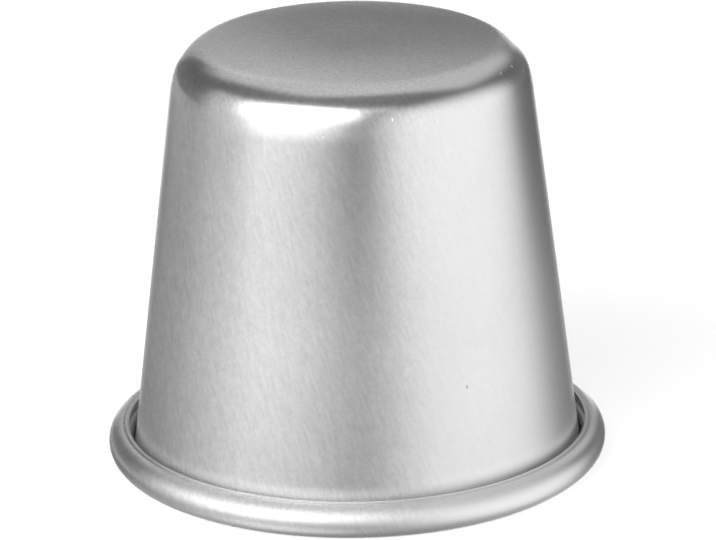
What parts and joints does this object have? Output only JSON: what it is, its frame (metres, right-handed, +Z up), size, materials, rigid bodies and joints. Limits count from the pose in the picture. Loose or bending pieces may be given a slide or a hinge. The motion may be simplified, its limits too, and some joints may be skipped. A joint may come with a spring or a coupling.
{
  "type": "baba mould",
  "caption": "Small tapered round cake mould of satin aluminium sheet, with a closed, slightly crowned base, a rounded base corner and a rim rolled outward over a wire, standing mouth down.",
  "frame": {"origin": "middle of the plane that the rolled rim stands on, mouth down", "axes": "+Z up along the axis of the cup, from the mouth to the closed base; the cup is round, so X and Y are free"},
  "size_m": [0.07, 0.07, 0.0609],
  "materials": {
    "satin_aluminium": "satin, lightly polished, with fine scuffs along the wall",
    "dull_wire": "dull drawn wire, darkened inside the roll"
  },
  "bodies": {
    "root": {"mould_shell": "satin_aluminium", "rim_wire": "dull_wire"}
  },
  "joints": []
}
